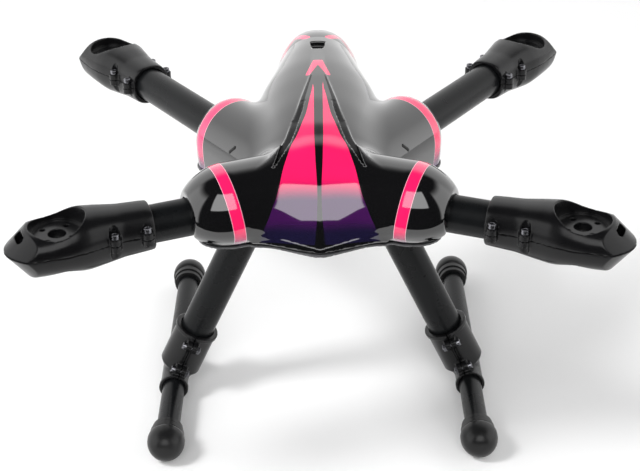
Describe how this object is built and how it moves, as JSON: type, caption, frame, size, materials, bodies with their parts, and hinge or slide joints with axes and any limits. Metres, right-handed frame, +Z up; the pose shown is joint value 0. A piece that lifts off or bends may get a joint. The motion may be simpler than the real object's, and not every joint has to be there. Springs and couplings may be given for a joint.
{
  "type": "multirotor drone airframe",
  "caption": "Multirotor drone airframe with clamped arm pods, a gloss canopy over a plate frame, splayed legs and skid tubes.",
  "frame": {"origin": "centre of the bounding box at the ground under the skid feet", "axes": "+Z up, -Y forward along the beak, +X to the object's left"},
  "size_m": [0.3986, 0.3516, 0.2515],
  "materials": {
    "canopy": "deep gloss black with hot pink panels and rings",
    "tray": "satin black",
    "carbon": "woven carbon sheet, satin",
    "tube": "carbon tube, satin black",
    "nylon": "moulded nylon, satin black",
    "steel": "dark plated steel",
    "alloy": "plain anodised",
    "rubber": "matte black rubber",
    "board": "green solder mask",
    "casing": "dark moulded case",
    "cell": "shrink-wrapped pack, plain blue",
    "strap": "hook-and-loop webbing"
  },
  "bodies": {
    "frame": {"belly_tray": "tray", "lower_frame_plate": "carbon", "upper_frame_plate": "carbon", "arm_clamp_front_left": "nylon", "arm_tube_front_left": "tube", "standoff_front_left": "alloy", "speed_controller_front_left": "casing", "arm_clamp_front_right": "nylon", "arm_tube_front_right": "tube", "standoff_front_right": "alloy", "speed_controller_front_right": "casing", "arm_clamp_rear_left": "nylon", "arm_tube_rear_left": "tube", "standoff_rear_left": "alloy", "speed_controller_rear_left": "casing", "arm_clamp_rear_right": "nylon", "arm_tube_rear_right": "tube", "standoff_rear_right": "alloy", "speed_controller_rear_right": "casing", "leg_tube_left": "tube", "leg_socket_left": "nylon", "leg_tube_right": "tube", "leg_socket_right": "nylon", "flight_controller": "casing", "power_board": "board", "receiver": "casing", "battery": "cell", "battery_strap_front": "strap", "battery_strap_rear": "strap", "canopy_post_front": "alloy", "canopy_post_rear": "alloy"},
    "pod_front_left": {"pod_upper_front_left": "nylon", "pod_lower_front_left": "nylon", "pod_bolt_front_left_1": "steel", "pod_bolt_front_left_2": "steel"},
    "pod_front_right": {"pod_upper_front_right": "nylon", "pod_lower_front_right": "nylon", "pod_bolt_front_right_1": "steel", "pod_bolt_front_right_2": "steel"},
    "pod_rear_left": {"pod_upper_rear_left": "nylon", "pod_lower_rear_left": "nylon", "pod_bolt_rear_left_1": "steel", "pod_bolt_rear_left_2": "steel"},
    "pod_rear_right": {"pod_upper_rear_right": "nylon", "pod_lower_rear_right": "nylon", "pod_bolt_rear_right_1": "steel", "pod_bolt_rear_right_2": "steel"},
    "tee_left": {"tee_outer_left": "nylon", "tee_inner_left": "nylon", "tee_bolt_left": "steel"},
    "skid_left": {"skid_tube_left": "tube", "foot_front_left": "rubber", "foot_rear_left": "rubber"},
    "tee_right": {"tee_outer_right": "nylon", "tee_inner_right": "nylon", "tee_bolt_right": "steel"},
    "skid_right": {"skid_tube_right": "tube", "foot_front_right": "rubber", "foot_rear_right": "rubber"},
    "canopy": {"canopy_shell": "canopy"}
  },
  "joints": [
    {"name": "pod_trim_front_left", "type": "hinge", "parent": "frame", "child": "pod_front_left", "pos_m": [0.16398, -0.15046, 0.2], "axis": [0.9307, -0.3659, 0], "range_deg": [-15, 15]},
    {"name": "pod_trim_front_right", "type": "hinge", "parent": "frame", "child": "pod_front_right", "pos_m": [-0.16398, -0.15046, 0.2], "axis": [-0.9307, -0.3659, 0], "range_deg": [-15, 15]},
    {"name": "pod_trim_rear_left", "type": "hinge", "parent": "frame", "child": "pod_rear_left", "pos_m": [0.1644, 0.14263, 0.2], "axis": [0.5838, 0.8119, 0], "range_deg": [-15, 15]},
    {"name": "pod_trim_rear_right", "type": "hinge", "parent": "frame", "child": "pod_rear_right", "pos_m": [-0.1644, 0.14263, 0.2], "axis": [-0.5838, 0.8119, 0], "range_deg": [-15, 15]},
    {"name": "toe_left", "type": "hinge", "parent": "frame", "child": "tee_left", "pos_m": [0.1118, -0.0245, 0.0134], "axis": [0.4226, 0, -0.9063], "range_deg": [-10, 10]},
    {"name": "skid_slide_left", "type": "slide", "parent": "tee_left", "child": "skid_left", "axis": [0, 1, 0], "range_m": [-0.025, 0.025]},
    {"name": "toe_right", "type": "hinge", "parent": "frame", "child": "tee_right", "pos_m": [-0.1118, -0.0245, 0.0134], "axis": [-0.4226, 0, -0.9063], "range_deg": [-10, 10]},
    {"name": "skid_slide_right", "type": "slide", "parent": "tee_right", "child": "skid_right", "axis": [0, 1, 0], "range_m": [-0.025, 0.025]},
    {"name": "canopy_lift", "type": "slide", "parent": "frame", "child": "canopy", "axis": [0, 0, 1], "range_m": [0, 0.09]}
  ]
}
